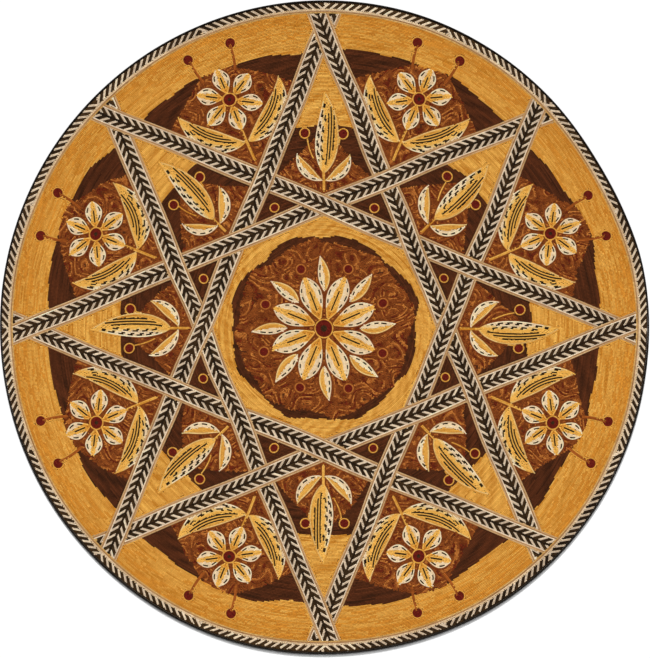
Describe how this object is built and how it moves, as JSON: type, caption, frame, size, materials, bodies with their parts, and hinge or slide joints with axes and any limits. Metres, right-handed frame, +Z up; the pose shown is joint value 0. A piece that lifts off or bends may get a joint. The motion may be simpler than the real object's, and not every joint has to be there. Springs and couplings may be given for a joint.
{
  "type": "round hooked rug",
  "caption": "Round hooked wool rug that lies flat on a floor: a looped pile field with a slightly uneven hand-cut outline and a thin whipped edge.",
  "frame": {"origin": "middle of the rug's bounding box on the plane of its underside", "axes": "+Z up through the pile, +Y towards the edge at the top of the picture, +X towards the edge at its right"},
  "size_m": [1.8274, 1.8404, 0.0078],
  "materials": {
    "hooked_wool": "matt looped wool pile in gold, rust, dark brown, cream and black",
    "binding_wool": "matt black whipped wool yarn"
  },
  "bodies": {
    "root": {"hooked_field": "hooked_wool", "edge_binding": "binding_wool"}
  },
  "joints": []
}
